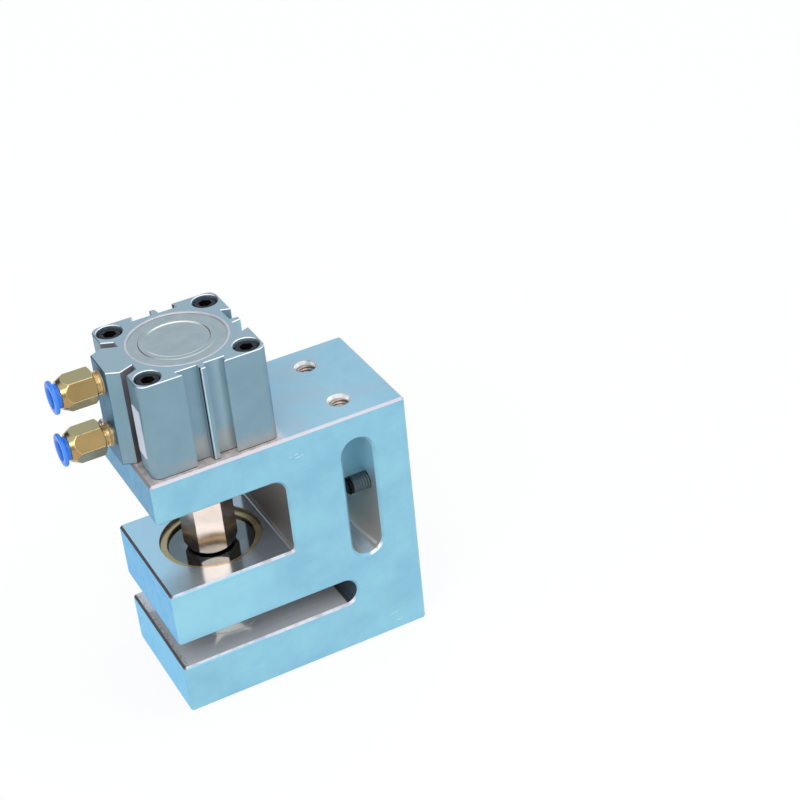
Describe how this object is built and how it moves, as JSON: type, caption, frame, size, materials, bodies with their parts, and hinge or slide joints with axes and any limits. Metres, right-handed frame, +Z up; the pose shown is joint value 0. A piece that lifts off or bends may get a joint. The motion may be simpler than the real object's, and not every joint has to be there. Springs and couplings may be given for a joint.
{
  "type": "pneumatic corner rounding punch",
  "caption": "Air-driven C-frame punch with a star-shaped cutter and die that rounds the corners of film pouches; clamps on a rail through a slot.",
  "frame": {"origin": "on the punch axis at the base plane, in the mouth of the discharge hole", "axes": "+Z up along the punch axis, -X towards the open front with the air fittings, Y across the width"},
  "size_m": [0.1379, 0.06, 0.16],
  "materials": {
    "frame_blue": "satin light blue coating outside, bare milled metal inside",
    "barrel_anodised": "grey blue anodised extrusion",
    "cover_aluminium": "turned",
    "bush_bronze": "turned bronze",
    "tool_steel": "ground and polished tool steel",
    "coupler_steel": "polished",
    "rod_chrome": "hard chrome plated",
    "plain_steel": "zinc plated",
    "spring_steel": "phosphated",
    "black_steel": "black oxide",
    "fitting_brass": "turned brass, plain",
    "collar_blue": "moulded acetal",
    "seal_rubber": "nitrile rubber",
    "bumper_rubber": "polyurethane",
    "magnet": "plastic bonded ferrite",
    "sealant": "set sealing compound",
    "label_white": "bare film sticker"
  },
  "bodies": {
    "frame": {"frame_block": "frame_blue", "guide_bush": "bush_bronze", "stripper_plate": "tool_steel", "die_insert": "tool_steel", "die_ring": "bush_bronze", "cylinder_barrel": "barrel_anodised", "back_cover": "barrel_anodised", "back_cover_seal": "seal_rubber", "front_cover": "cover_aluminium", "front_cover_seal": "seal_rubber", "retaining_ring": "spring_steel", "rod_bush": "bush_bronze", "rod_seal": "seal_rubber", "bottom_bumper": "bumper_rubber", "top_bumper": "bumper_rubber", "cylinder_screw_1": "black_steel", "cylinder_screw_2": "black_steel", "cylinder_screw_3": "black_steel", "cylinder_screw_4": "black_steel", "fitting_body_upper": "fitting_brass", "fitting_sleeve_upper": "fitting_brass", "fitting_collet_upper": "spring_steel", "fitting_seal_upper": "seal_rubber", "thread_sealant_upper": "sealant", "fitting_body_lower": "fitting_brass", "fitting_sleeve_lower": "fitting_brass", "fitting_collet_lower": "spring_steel", "fitting_seal_lower": "seal_rubber", "thread_sealant_lower": "sealant", "blank_label": "label_white"},
    "ram": {"piston_rod": "rod_chrome", "piston": "cover_aluminium", "piston_seal": "seal_rubber", "piston_magnet": "magnet", "piston_nut": "plain_steel", "hex_coupler": "coupler_steel", "punch": "tool_steel"},
    "collar_upper": {"release_collar_upper": "collar_blue"},
    "collar_lower": {"release_collar_lower": "collar_blue"},
    "clamp_left": {"rail_clamp_screw_left": "black_steel"},
    "clamp_right": {"rail_clamp_screw_right": "black_steel"}
  },
  "joints": [
    {"name": "ram_slide", "type": "slide", "parent": "frame", "child": "ram", "axis": [0, 0, -1], "range_m": [0, 0.015]},
    {"name": "collar_upper_push", "type": "slide", "parent": "frame", "child": "collar_upper", "axis": [1, 0, 0], "range_m": [0, 0.0012], "stiffness_N_per_m": 200},
    {"name": "collar_lower_push", "type": "slide", "parent": "frame", "child": "collar_lower", "axis": [1, 0, 0], "range_m": [0, 0.0012], "stiffness_N_per_m": 200},
    {"name": "clamp_left_travel", "type": "slide", "parent": "frame", "child": "clamp_left", "axis": [-1, 0, 0], "range_m": [-0.006, 0.0035]},
    {"name": "clamp_right_travel", "type": "slide", "parent": "frame", "child": "clamp_right", "axis": [-1, 0, 0], "range_m": [-0.006, 0.0035]}
  ]
}
